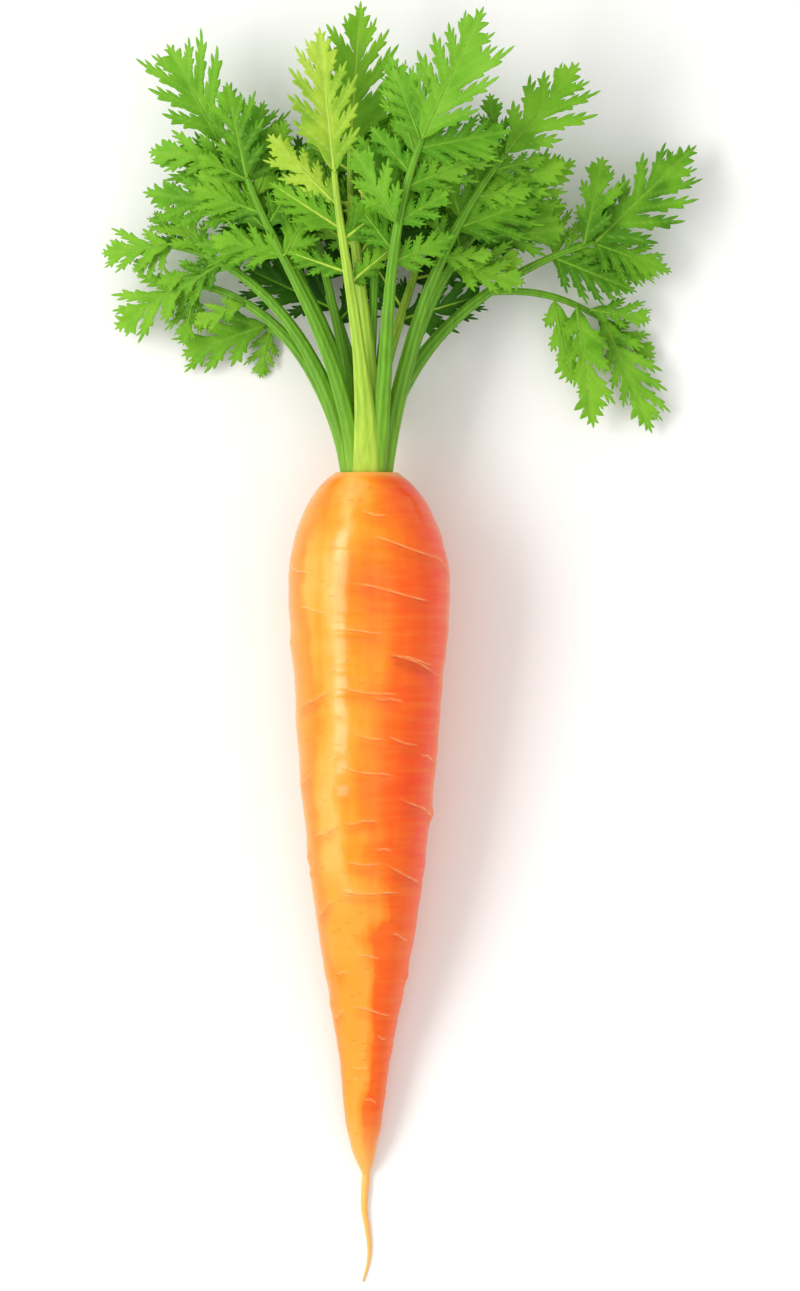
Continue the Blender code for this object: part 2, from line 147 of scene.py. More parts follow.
def crease_relief(s, turn):
    """Depth of the deep creases, and how far each spot is on a crease's raised upper lip (painted
    highlight).
    """
    depth, lip = np.zeros_like(s), np.zeros_like(s)
    for s0, from_deg, s1, to_deg, deep in CREASES:
        start, end = math.radians(from_deg), math.radians(to_deg)
        share = ((turn - start + math.pi / 2) % (2 * math.pi) - math.pi / 2) / (end - start)
        line = MM * (s0 + (s1 - s0) * np.clip(share, 0, 1) + 0.22 * np.sin(7 * share + s0))
        ends = np.clip(np.minimum(share, 1 - share) * 4.5 + 0.12, 0, 1) ** 1.3
        ends[(share < -0.04) | (share > 1.04)] = 0
        away = (s - line) / MM
        worn = 0.75 + 0.25 * np.sin(23 * share + 3 * s0)
        depth += deep * ends * worn * np.exp(-((away / GROOVE_WIDTH) ** 2))
        depth -= LIP_RISE * deep * ends * np.exp(-(((away + 0.50) / LIP_WIDTH) ** 2))
        depth += 0.45 * deep * ends * np.exp(-(((away - 1.4) / 1.3) ** 2))
        # Where a crease's upper lip is, for the pale painted highlight along it.
        lip = np.maximum(lip, ends * worn * np.exp(-(((away + 0.34) / 0.19) ** 2)))
    return depth * MM, lip


SWELLS, WRINKLES = 26, 120  # gentle waves along the root, and fine cross wrinkles
# Bumps where side roots broke off: distance below the crown (mm), angle, height and length (mm).
ROOT_SCARS = [
    (97, -82, 0.55, 1.8), (101, -78, 0.4, 1.2), (86, 84, 0.6, 1.6), (127, 78, 0.5, 1.8),
    (43, -84, 0.3, 1.5), (70, 80, 0.25, 2.0), (62, 150, 0.5, 1.6), (112, 190, 0.5, 1.6),
    (134, -80, 0.3, 1.4), (30, 205, 0.4, 2.0),
]


def growth_relief(s, turn):
    """The gentle swelling between rings, scars of side roots, and fine cross wrinkles."""
    rng = np.random.default_rng(7)
    relief = np.zeros_like(s)
    for _ in range(SWELLS):
        pitch, around = rng.uniform(5, 22) * MM, rng.integers(0, 5)
        phase, shift = rng.uniform(0, 2 * math.pi, 2)
        relief += 0.028 * np.sin(2 * math.pi * s / pitch + phase) * np.cos(around * turn + shift)
    for at, deg, high, long in ROOT_SCARS:
        gap = (turn - math.radians(deg) + math.pi) % (2 * math.pi) - math.pi
        relief += high * np.exp(-((gap / 0.16) ** 2)) * np.exp(-(((s / MM - at) / long) ** 2))
    for _ in range(WRINKLES):
        at, side = rng.uniform(8, 168), rng.uniform(-math.pi, math.pi)
        wide, deep = rng.uniform(0.15, 0.6), rng.uniform(0.03, 0.11)
        gap = (turn - side + math.pi) % (2 * math.pi) - math.pi
        line = at + 0.8 * gap * rng.uniform(-1, 1)
        relief -= deep * np.exp(-((gap / wide) ** 2)) * np.exp(-(((s / MM - line) / 0.3) ** 2))
    return relief * MM


def sheet_faces(rows, columns):
    """Faces of rings of points that close on themselves, ring after ring."""
    k, n = np.meshgrid(np.arange(rows - 1), np.arange(columns), indexing="ij")
    low, after = k * columns + n, k * columns + (n + 1) % columns
    quads = np.stack([low, after, after + columns, low + columns], axis=-1)
    return [tuple(int(i) for i in quad) for quad in quads.reshape(-1, 4)]


def add_piece(name, points, faces, material, slot, **marks):
    """A mesh that rides with the carrot, with a number for each of its points under each mark."""
    mesh = bpy.data.meshes.new(name)
    mesh.from_pydata([tuple(float(c) for c in p) for p in points], [], faces)
    mesh.shade_smooth()
    for mark, values in marks.items():
        layer = mesh.attributes.new(mark, "FLOAT", "POINT")
        layer.data.foreach_set("value", np.asarray(values, np.float32))
    mesh.materials.append(material)
    piece = bpy.data.objects.new(name, mesh)
    bpy.context.scene.collection.objects.link(piece)
    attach(piece, "root")
    return piece


def linear(hex_colour):
    """sRGB hex to the linear colour that Blender's sockets take."""
    parts = [int(hex_colour[k : k + 2], 16) / 255 for k in (1, 3, 5)]
    return [c / 12.92 if c <= 0.04045 else ((c + 0.055) / 1.055) ** 2.4 for c in parts] + [1]


def add_node(tree, kind, settings=None, **inputs):
    """A node of this kind. An input is a value, or another node's output socket to link."""
    node = tree.nodes.new(kind)
    for name, value in (settings or {}).items():
        setattr(node, name, value)
    for name, value in inputs.items():
        key = int(name[1:]) if name[0] == "i" and name[1:].isdigit() else name.replace("_", " ")
        if isinstance(value, bpy.types.NodeSocket):
            tree.links.new(value, node.inputs[key])
        else:
            node.inputs[key].default_value = value
    return node


def new_material(name):
    made = bpy.data.materials.new(name)
    made.use_nodes = True
    return made, made.node_tree, made.node_tree.nodes["Principled BSDF"]


# Carrot skin, washed: orange carotene under a thin clear skin, so it glows where light enters it
# and takes a broad satin highlight. Its colour also has light and shade painted into it round the
# root: paler on the lit left, deeper on the shaded right.
root_skin, tree, skin = new_material("carrot root skin, washed and moist")
place = add_node(tree, "ShaderNodeTexCoord").outputs["Object"]
long_streaks = add_node(
    tree, "ShaderNodeMapping", Vector=place, Scale=(1 / 0.009, 1 / 0.075, 1 / 0.009)
)  # streaks 9 mm wide and 75 mm long
streaks = add_node(
    tree, "ShaderNodeTexNoise", Vector=long_streaks.outputs[0], Scale=1.0, Detail=5.0, Roughness=0.55
)
bands = add_node(
    tree, "ShaderNodeMapping", Vector=place, Scale=(1 / 0.014, 1 / 0.0016, 1 / 0.014)
)  # growth lines 1.6 mm apart that run 14 mm round the root
lines = add_node(
    tree, "ShaderNodeTexNoise", Vector=bands.outputs[0], Scale=1.0, Detail=4.0, Roughness=0.6
)
pores = add_node(
    tree, "ShaderNodeMapping", Vector=place, Scale=(1 / 0.0055, 1 / 0.0018, 1 / 0.0055)
)  # pores 1.8 mm high, 5.5 mm wide
pore_spots = add_node(
    tree, "ShaderNodeTexVoronoi", {"feature": "F1"}, Vector=pores.outputs[0], Scale=1.0, Randomness=1.0
)
# The colour changes round the root, and much of that is painted light and shade. It is painted
# paler on the left flank, which faces the key light, with a pale painted highlight strip a little
# left of the top. The right flank is painted shade in deep red orange, with a warm painted rim of
# reflected light, and the back is full orange. The bounds run ragged along the root and shift
# from one growth ring to the next.
rings_across = add_node(
    tree, "ShaderNodeMapping", Vector=place, Scale=(1 / 0.06, 1 / 0.011, 1 / 0.06)
)  # growth rings about 11 mm long
ring_tone = add_node(
    tree, "ShaderNodeTexNoise", Vector=rings_across.outputs[0], Scale=1.0, Detail=2.0, Roughness=0.4
)
round_mark = add_node(tree, "ShaderNodeAttribute", {"attribute_name": "round"})
ragged = add_node(
    tree, "ShaderNodeMapRange", Value=streaks.outputs["Fac"], From_Min=0.0, From_Max=1.0,
    To_Min=-0.10, To_Max=0.10,
)
stepped = add_node(
    tree, "ShaderNodeMapRange", Value=ring_tone.outputs["Fac"], From_Min=0.0, From_Max=1.0,
    To_Min=-0.07, To_Max=0.07,
)
shift = add_node(
    tree, "ShaderNodeMath", {"operation": "ADD"}, i0=ragged.outputs[0], i1=stepped.outputs[0]
)
turned = add_node(
    tree, "ShaderNodeMath", {"operation": "ADD"}, i0=round_mark.outputs["Fac"], i1=shift.outputs[0]
)
# Shares of a turn, from the underside round by the left, the top and the right: first for the
# upper root, then for the thin lower third, which is plainer. Both hold painted light and shade:
# paler stops on the lit left and deep ones on the shaded right. The upper one also has a painted
# highlight strip near 0.435 and a warm painted rim of reflected light near 0.71 to 0.76.
UPPER_TONES_AND_PAINTED_LIGHT = [
    (0.0, "#FF8814"), (0.12, "#FF8E1A"), (0.25, "#FF9C2C"), (0.31, "#FF8C12"), (0.35, "#FF8604"),
    (0.39, "#FFA332"), (0.435, "#FFB75A"), (0.475, "#FF9A1C"), (0.51, "#FF8204"), (0.55, "#FF6E00"),
    (0.60, "#FF5A00"), (0.665, "#FD4400"), (0.71, "#FC4E14"), (0.76, "#FF6A18"), (0.88, "#FF8212"),
]
LOWER_TONES_AND_PAINTED_LIGHT = [
    (0.0, "#FF8814"), (0.12, "#FF8E1A"), (0.25, "#FF9624"), (0.33, "#FF880A"), (0.39, "#FF9A24"),
    (0.49, "#FFA436"), (0.53, "#FF8A10"), (0.55, "#FF6200"), (0.70, "#FF5C00"), (0.88, "#FF8010"),
]


def colour_in(ramp, colours):
    """Gives a colour ramp these colours at these shares."""
    stops = ramp.color_ramp.elements
    stops.remove(stops[1])
    stops[0].position, stops[0].color = colours[0][0], linear(colours[0][1])
    for share, colour in colours[1:]:
        stops.new(share).color = linear(colour)


# The root's colour with its painted light and shade, read from the ramps above.
upper_tones_and_light = add_node(tree, "ShaderNodeValToRGB", Fac=turned.outputs[0])
lower_tones_and_light = add_node(tree, "ShaderNodeValToRGB", Fac=turned.outputs[0])
colour_in(upper_tones_and_light, UPPER_TONES_AND_PAINTED_LIGHT)
colour_in(lower_tones_and_light, LOWER_TONES_AND_PAINTED_LIGHT)
low_mark = add_node(tree, "ShaderNodeAttribute", {"attribute_name": "low"})
body_tones_and_light = add_node(
    tree, "ShaderNodeMix", {"data_type": "RGBA"}, i0=low_mark.outputs["Fac"],
    i6=upper_tones_and_light.outputs[0], i7=lower_tones_and_light.outputs[0],
)
line_shade = add_node(
    tree, "ShaderNodeMapRange", Value=lines.outputs["Fac"], From_Min=0.42, From_Max=0.72,
    To_Min=0.0, To_Max=0.24,
)
lined = add_node(
    tree, "ShaderNodeMix", {"data_type": "RGBA"}, i0=line_shade.outputs[0],
    i6=body_tones_and_light.outputs[2], i7=linear("#FF9E30"),
)
pore_shade = add_node(
    tree, "ShaderNodeMapRange", Value=pore_spots.outputs["Distance"], From_Min=0.05, From_Max=0.22,
    To_Min=0.35, To_Max=0.0,
)
pored = add_node(
    tree, "ShaderNodeMix", {"data_type": "RGBA"}, i0=pore_shade.outputs[0],
    i6=lined.outputs[2], i7=linear("#E25A08"),
)
# Painted highlight: the raised upper lip of each deep crease is painted as a pale line.
lip_highlight_mark = add_node(tree, "ShaderNodeAttribute", {"attribute_name": "lip"})
lip_highlighted = add_node(
    tree, "ShaderNodeMix", {"data_type": "RGBA"}, i0=lip_highlight_mark.outputs["Fac"],
    i6=pored.outputs[2], i7=linear("#FFC47A"),
)
# Painted shade: the groove of each deep crease is painted darker.
groove_shade_mark = add_node(tree, "ShaderNodeAttribute", {"attribute_name": "groove"})
groove_shaded = add_node(
    tree, "ShaderNodeMix", {"data_type": "RGBA"}, i0=groove_shade_mark.outputs["Fac"],
    i6=lip_highlighted.outputs[2], i7=linear("#D24404"),
)
pale_mark = add_node(tree, "ShaderNodeAttribute", {"attribute_name": "pale"})
paled = add_node(
    tree, "ShaderNodeMix", {"data_type": "RGBA"}, i0=pale_mark.outputs["Fac"],
    i6=groove_shaded.outputs[2], i7=linear("#FFB75A"),
)
tree.links.new(paled.outputs[2], skin.inputs["Base Color"])
skin_bump = add_node(
    tree, "ShaderNodeBump", Strength=0.25, Distance=0.0002, Height=lines.outputs["Fac"]
)
pore_bump = add_node(
    tree, "ShaderNodeBump", {"invert": True}, Strength=0.3, Distance=0.0002,
    Height=pore_shade.outputs[0], Normal=skin_bump.outputs[0],
)
tree.links.new(pore_bump.outputs[0], skin.inputs["Normal"])
skin.inputs["Roughness"].default_value = 0.36
skin.inputs["IOR"].default_value = 1.4
skin.inputs["Specular IOR Level"].default_value = 0.12
skin.inputs["Subsurface Weight"].default_value = 0.12
skin.inputs["Subsurface Radius"].default_value = (1.0, 0.34, 0.08)
skin.inputs["Subsurface Scale"].default_value = 1.6 * MM
skin.inputs["Coat Weight"].default_value = 0.6
skin.inputs["Coat Roughness"].default_value = 0.17

body_s = np.linspace(0, 1, ROOT_RINGS) ** 1.15 * tail_from
tail_s = tail_from + (root_end - tail_from) * np.linspace(0, 1, TAIL_RINGS + 1)[1:]
all_s = np.concatenate([body_s, tail_s])
turns = np.linspace(-math.pi, math.pi, ROOT_SIDES, endpoint=False)
s_grid, turn_grid = np.meshgrid(all_s, turns, indexing="ij")
cx, cz, radius = body_at(all_s)
calm = np.clip((s_grid / MM - 1) / 6, 0, 1) * np.clip((tail_from - s_grid) / CALM, 0, 1)
groove, lip = crease_relief(s_grid, turn_grid)
width = radius[:, None] + calm * (growth_relief(s_grid, turn_grid) - groove)
across, up = cx[:, None] + width * np.sin(turn_grid), cz[:, None] + width * np.cos(turn_grid)
root_points = np.stack([across, crown_y - s_grid, up], axis=-1)
root_points[..., 2] = np.maximum(root_points[..., 2], 0.02 * MM)
# The skin turns in at the crown in small steps, down into the middle of the bunch.
rim_radius = float(radius[0])
for k in range(1, CROWN_RINGS + 1):
    inner = rim_radius * math.cos(k / CROWN_RINGS * math.pi / 2)
    dip = CROWN_DIP * (1 - math.cos(k / CROWN_RINGS * math.pi / 2))
    across, up = cx[0] + inner * np.sin(turns), cz[0] + inner * np.cos(turns)
    ring = np.stack([across, np.full_like(turns, crown_y - dip), up], axis=-1)
    root_points = np.concatenate([ring[None], root_points])
extra = np.zeros((CROWN_RINGS, ROOT_SIDES))
round_values = np.tile(turns / (2 * math.pi) + 0.5, len(root_points))
# The mark for the painted highlight along each crease's lip.
lip_highlight_values = np.concatenate([extra, np.clip(lip * calm, 0, 1) * 0.75]).ravel()
# The mark for the painted shade in each crease's groove, from its depth.
groove_shade_values = np.concatenate([extra, np.clip(groove / (0.4 * MM), 0, 1) * calm * 0.6]).ravel()
# The tail and the rim of the crown are paler, and the plainer lower third starts 96 mm down.
PALING, RIM, LOWER_THIRD, THIRD_BLEND = 16 * MM, 1.3 * MM, 96 * MM, 16 * MM
pale = np.clip((s_grid - tail_from + PALING) / PALING, 0, 1) + 0.75 * np.exp(-((s_grid / RIM) ** 2))
pale_values = np.concatenate([extra + 0.6, pale]).ravel()
low_values = np.concatenate([extra, np.clip((s_grid - LOWER_THIRD) / THIRD_BLEND, 0, 1)]).ravel()
root_faces = sheet_faces(len(root_points), ROOT_SIDES)
tip = len(root_points) * ROOT_SIDES
last_ring = tip - ROOT_SIDES
root_faces += [(last_ring + n, last_ring + (n + 1) % ROOT_SIDES, tip) for n in range(ROOT_SIDES)]
end_point = [[float(cx[-1]), crown_y - root_end - 0.2 * MM, float(cz[-1])]]
root_piece = add_piece(
    "root_body", np.concatenate([root_points.reshape(-1, 3), end_point]), root_faces, root_skin,
    "root_skin", lip=np.append(lip_highlight_values, 0), groove=np.append(groove_shade_values, 0),
    pale=np.append(pale_values, 1), low=np.append(low_values, 1),
    round=np.append(round_values, 0.5),
)
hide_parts("root")

# ------------------------------------------------------------------ stalks
# Each leaf stands on a fleshy green stalk that is broad and flat where it clasps its neighbours at
# the crown, ribbed along its back and hollowed along its front, and thins towards the leaf.
STALK_SIDES, STALK_STEP = 28, 0.9 * MM
SHEATH_LENGTH = 34 * MM  # over which the clasping foot of a stalk narrows
SHEATH_SWELL = 0.42  # how much wider than the stalk the foot is
BROAD_SHEATH = {"centre_left": 1.0}  # and how much more the foremost leaf's foot is
SHEATH_LEAN = 0.22  # how far the feet press in towards the middle of the crown
STALK_FLESH = 1.24  # how much the ribs stand out past the frame's slim stalk
RIBS = 7
ROOTED = 2.2 * MM  # how far a stalk reaches down into the crown
FRAME_SIDES = 8  # corners of each ring of a stalk in the frame


def stalk_line(node):
    """Centres and widths of the rings of a frame stalk, from its foot to its end."""
    corners = np.unique(np.round(corners_of(node), 6), axis=0)
    apart = np.linalg.norm(corners[:, None] - corners[None], axis=-1)
    ends = np.unravel_index(apart.argmax(), apart.shape)
    crown = np.array([0, crown_y, 0])
    foot = min(ends, key=lambda k: np.linalg.norm((corners[k] - crown) * (1, 1, 0)))
    order = np.argsort(apart[foot])
    rows = corners[order].reshape(-1, FRAME_SIDES, 3)
    centres = rows.mean(1)
    widths = np.linalg.norm(rows - centres[:, None], axis=-1).max(1)
    return centres, widths


def smooth_line(centres, widths, step):
    marks = np.concatenate([[0], np.cumsum(np.linalg.norm(np.diff(centres, axis=0), axis=1))])
    at = np.linspace(0, marks[-1], max(4, int(marks[-1] / step)))
    line = np.stack([through(marks, centres[:, k], at) for k in range(3)], axis=-1)
    return at, line, through(marks, widths, at)


def frames_along(line):
    """Direction, sideways and upward vectors at each point of a line."""
    along = np.gradient(line, axis=0)
    along /= np.linalg.norm(along, axis=1)[:, None]
    aside = np.cross(along, [0, 0, 1])
    aside /= np.linalg.norm(aside, axis=1)[:, None]
    return along, aside, np.cross(aside, along)


def swept(line, half_width, half_height, sides, profile):
    """Rings round a line. The profile gives each side's share of the section, row by row."""
    _, aside, up = frames_along(line)
    turn = np.linspace(0, 2 * math.pi, sides, endpoint=False)
    shape = profile(turn)
    wide = half_width[:, None] * np.cos(turn) * shape
    high = half_height[:, None] * np.sin(turn) * shape
    return line[:, None] + wide[..., None] * aside[:, None] + high[..., None] * up[:, None]


def closed_tube(rows):
    """Points and faces of rings with a point at each end."""
    count, sides = rows.shape[:2]
    faces = [tuple(reversed(f)) for f in sheet_faces(count, sides)]
    points = np.concatenate([rows.reshape(-1, 3), rows[0].mean(0)[None], rows[-1].mean(0)[None]])
    first, last = count * sides, count * sides + 1
    for n in range(sides):
        after = (n + 1) % sides
        faces.append((n, after, first))
        faces.append(((count - 1) * sides + after, (count - 1) * sides + n, last))
    return points, faces


def stalk_material(name, ridge, hollow, foot):
    """Fresh stalk: taut ribbed green flesh, satin and a little see-through, paler at its foot."""
    made, tree, flesh = new_material(name)
    place = add_node(tree, "ShaderNodeTexCoord").outputs["Object"]
    rib = add_node(tree, "ShaderNodeAttribute", {"attribute_name": "rib"})
    foot_mark = add_node(tree, "ShaderNodeAttribute", {"attribute_name": "foot"})
    fibres = add_node(
        tree, "ShaderNodeMapping", Vector=place, Scale=(1 / 0.0011, 1 / 0.016, 1 / 0.0011)
    )  # fibres 1.1 mm wide and 16 mm long
    grain = add_node(
        tree, "ShaderNodeTexNoise", Vector=fibres.outputs[0], Scale=1.0, Detail=3.0, Roughness=0.5
    )
    ribbed = add_node(
        tree, "ShaderNodeMix", {"data_type": "RGBA"}, i0=rib.outputs["Fac"],
        i6=linear(hollow), i7=linear(ridge),
    )
    pale = add_node(
        tree, "ShaderNodeMix", {"data_type": "RGBA"}, i0=foot_mark.outputs["Fac"],
        i6=ribbed.outputs[2], i7=linear(foot),
    )
    shade = add_node(
        tree, "ShaderNodeMapRange", Value=grain.outputs["Fac"], From_Min=0.3, From_Max=0.7,
        To_Min=0.82, To_Max=1.12,
    )
    fibred = add_node(
        tree, "ShaderNodeVectorMath", {"operation": "SCALE"}, i0=pale.outputs[2], Scale=shade.outputs[0]
    )
    tree.links.new(fibred.outputs[0], flesh.inputs["Base Color"])
    bump = add_node(tree, "ShaderNodeBump", Strength=0.25, Distance=0.0002, Height=grain.outputs["Fac"])
    tree.links.new(bump.outputs[0], flesh.inputs["Normal"])
    flesh.inputs["Roughness"].default_value = 0.42
    flesh.inputs["IOR"].default_value = 1.42
    flesh.inputs["Specular IOR Level"].default_value = 0.3
    flesh.inputs["Subsurface Weight"].default_value = 0.15
    flesh.inputs["Subsurface Radius"].default_value = (0.5, 1.0, 0.2)
    flesh.inputs["Subsurface Scale"].default_value = 1.2 * MM
    return made


green_stalk = stalk_material("carrot stalk, mid green", "#79B028", "#548F1A", "#80B22C")
pale_stalk = stalk_material("carrot stalk, young yellow green", "#B8D54C", "#8CBA34", "#B6D24A")
PALE_STALKS = ("centre_left", "under_right", "centre")


def stalk_ribs(turn):
    """The section of a stalk: ribs all round and a hollow along its upper side."""
    return 1 + 0.045 * np.cos(RIBS * turn) - 0.10 * np.exp(-(((turn - math.pi / 2) / 0.5) ** 2))


rib_height = 0.5 + 0.5 * np.cos(RIBS * np.linspace(0, 2 * math.pi, STALK_SIDES, endpoint=False))
leaves = sorted(name[: -len("_stalk")] for name in frame["nodes"] if name.endswith("_stalk"))
stalk_paths = {}  # for each leaf: distance along its stalk, points and widths
for leaf in leaves:
    centres, widths = stalk_line(f"{leaf}_stalk")
    stalk_paths[leaf] = smooth_line(centres, widths, STALK_STEP)
    branch = leaf.endswith("_branch")
    if branch:
        trunk = stalk_paths[leaf.replace("_branch", "")][1]
        nearest = trunk[np.linalg.norm(trunk - centres[0], axis=1).argmin() - 4]
        centres, widths = np.concatenate([[nearest], centres]), np.concatenate([widths[:1], widths])
    else:
        first = centres[1] - centres[0]
        back = centres[0] - first / np.linalg.norm(first) * ROOTED
        centres, widths = np.concatenate([[back], centres]), np.concatenate([widths[:1], widths])
    marks, line, half = smooth_line(centres, widths, STALK_STEP)
    foot = np.zeros_like(marks) if branch else np.clip(1 - marks / SHEATH_LENGTH, 0, 1)
    inward = (np.array([cx[0], 0, cz[0]]) - line[0]) * [1, 0, 1]
    line = line + SHEATH_LEAN * inward * foot[:, None] ** 1.5
    swell = STALK_FLESH + (SHEATH_SWELL + BROAD_SHEATH.get(leaf, 0)) * foot**1.3
    rows = swept(line, half * swell, half * 0.9 * (1 + 0.25 * foot), STALK_SIDES, stalk_ribs)
    points, faces = closed_tube(rows)
    rib_values = np.tile(rib_height, len(rows))
    foot_values = np.repeat(foot**2, STALK_SIDES)
    stalk = add_piece(
        f"{leaf}_stalk_flesh", points, faces, pale_stalk if leaf in PALE_STALKS else green_stalk,
        "stalk_skin", rib=np.append(rib_values, [0, 0]), foot=np.append(foot_values, [1, 0]),
    )
    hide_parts(f"{leaf}_stalk")

# The youngest leaves are still short. Their thin stalks stand between the others and end under
# them. For each: where its tip ends, across and up from the crown, and its height there (mm).
YOUNG_STALKS = [(-21, 60, 20), (-13, 60, 24), (2.6, 60, 26), (8, 58, 25)]
YOUNG_SEAT = 0.14  # how far from the crown's middle a young stalk stands, against how far it leans
YOUNG_RADIUS = (1.7 * MM, 0.9 * MM)
YOUNG_RINGS = 60


def joined(shapes):
    """The points, faces and marks of several closed shapes, as those of one."""
    points, faces, marks, start = [], [], {}, 0
    for shape_points, shape_faces, shape_marks in shapes:
        points.append(shape_points)
        faces += [tuple(start + i for i in face) for face in shape_faces]
        start += len(shape_points)
        for mark, values in shape_marks.items():
            marks.setdefault(mark, []).append(values)
    return np.concatenate(points), faces, {mark: np.concatenate(v) for mark, v in marks.items()}


crown_middle = np.array([cx[0], crown_y, cz[0]])
young_tips, shapes = [], []
for across, up, height in YOUNG_STALKS:
    share = np.linspace(0, 1, YOUNG_RINGS)
    tip = np.array([crown_middle[0] + across * MM, crown_y + up * MM, height * MM])
    seat = crown_middle + [YOUNG_SEAT * across * MM, -ROOTED, 0]
    line = np.stack(
        [
            seat[0] + (tip[0] - seat[0]) * share**1.5,
            seat[1] + (tip[1] - seat[1]) * share,
            seat[2] + (tip[2] - seat[2]) * share**1.3,
        ],
        axis=-1,
    )
    young_tips.append((line[-2], line[-1]))
    half = YOUNG_RADIUS[0] + (YOUNG_RADIUS[1] - YOUNG_RADIUS[0]) * share**0.7
    points, faces = closed_tube(swept(line, half, half, STALK_SIDES, stalk_ribs))
    rib_values = np.append(np.tile(rib_height, len(line)), [0, 0])
    foot_values = np.append(np.repeat(0.5 * (1 - share) ** 2, STALK_SIDES), [0, 0])
    shapes.append((points, faces, {"rib": rib_values, "foot": foot_values}))
points, faces, marks = joined(shapes)
add_piece("young_stalks", points, faces, green_stalk, "stalk_skin", **marks)

# ------------------------------------------------------------------ leaflets
# A carrot leaf is cut several times over. Each leaflet is a thin soft frond: lobes sweep forward
# from its midrib with narrow slits between them, each lobe ends in a few pointed teeth, and the
# flesh puffs up a little between the veins.
BLADE_THICKNESS = 0.3 * MM
EDGE_STEP, FLESH_STEP = 0.45 * MM, 0.66 * MM
LOBE_PITCH, SLIT = 4.7 * MM, 0.50 * MM
FIRST_LOBE, LAST_LOBE = 0.05, 0.74  # where the lobes' feet start and end, along the leaflet
FOOT_WIDTH = 0.9 * MM
WEB = 0.20  # share of a lobe's length that stays joined to its neighbours
PUFF, VEIN_WIDTH, MIDRIB_WIDTH = 0.30 * MM, 0.20 * MM, 0.42 * MM

# One lobe: share of its length, and share of half its width, out along its lower edge round its
# fingers and back. Then the same for the leaflet's end, from one side to the other.
LOBE_EDGE = [
    (0.28, -0.92), (0.42, -0.98), (0.56, -1.30), (0.56, -0.60), (0.68, -0.80), (0.84, -1.08),
    (0.80, -0.34), (0.90, -0.34), (1.06, 0.02), (0.90, 0.24), (0.80, 0.22), (0.92, 0.98),
    (0.74, 0.72), (0.62, 0.36), (0.72, 1.18), (0.54, 0.90), (0.42, 0.54), (0.48, 1.16), (0.28, 0.96),
]
END_EDGE = [
    (0.08, -0.98), (0.38, -1.62), (0.32, -0.66), (0.48, -0.84), (0.68, -1.14), (0.61, -0.38),
    (0.74, -0.42), (0.90, -0.62), (0.83, -0.16), (1.04, 0.00), (0.83, 0.16), (0.90, 0.62),
    (0.74, 0.42), (0.61, 0.38), (0.68, 1.14), (0.48, 0.84), (0.32, 0.66), (0.38, 1.62), (0.08, 0.98),
]


def lobe_reach(share):
    """How far a lobe reaches sideways, against the widest one, at its share of the way up."""
    return math.sin(math.pi * (0.24 + 0.70 * share)) ** 0.9


